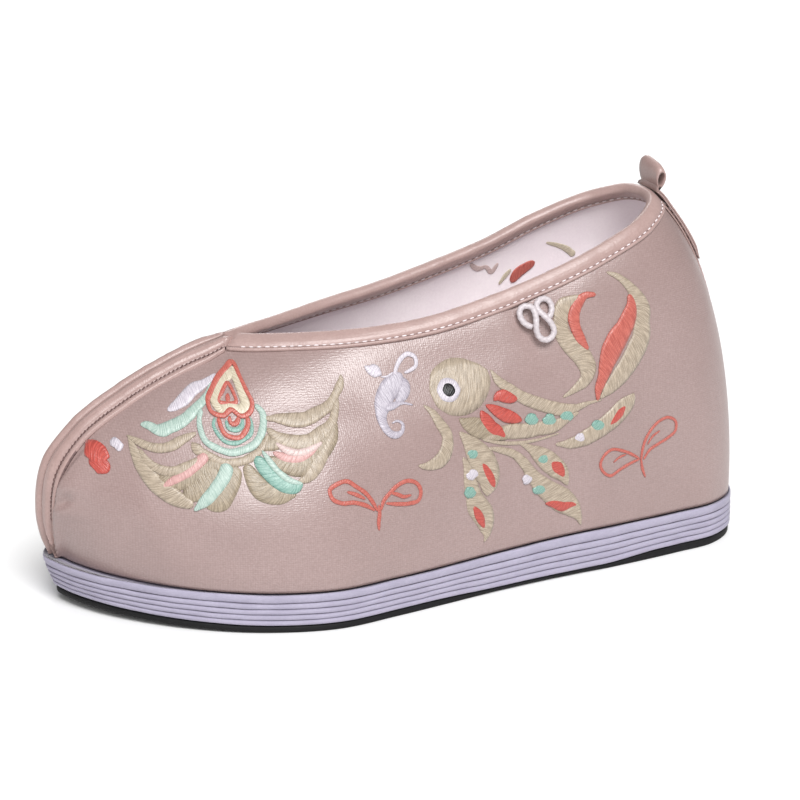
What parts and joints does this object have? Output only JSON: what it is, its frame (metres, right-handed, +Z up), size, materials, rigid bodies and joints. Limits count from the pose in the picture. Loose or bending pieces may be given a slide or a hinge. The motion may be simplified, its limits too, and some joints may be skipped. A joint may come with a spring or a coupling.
{
  "type": "cloth shoe",
  "caption": "Left slip-on cloth shoe in embroidered satin with a bound collar, front seam, pull loop, layered cloth sole and a hidden wedge.",
  "frame": {"origin": "on the floor, in the middle of the heel's flat underside", "axes": "+X to the toe, +Y to the wearer's left (the outer side), +Z up"},
  "size_m": [0.2428, 0.0917, 0.1322],
  "materials": {
    "rubber": "matt black",
    "sole_cloth": "pale lavender cotton",
    "lining_cloth": "soft lining cloth",
    "satin": "rose-beige satin with embroidery",
    "binding_satin": "plain rose-beige satin",
    "cord": "smooth white cord"
  },
  "bodies": {
    "root": {"outsole": "rubber", "layered_sole": "sole_cloth", "wedge_footbed": "lining_cloth", "upper": "satin", "collar_binding": "binding_satin", "front_seam_outer": "binding_satin", "front_seam_inner": "binding_satin", "back_tape": "binding_satin", "pull_loop": "binding_satin", "cord_knot": "cord"}
  },
  "joints": []
}
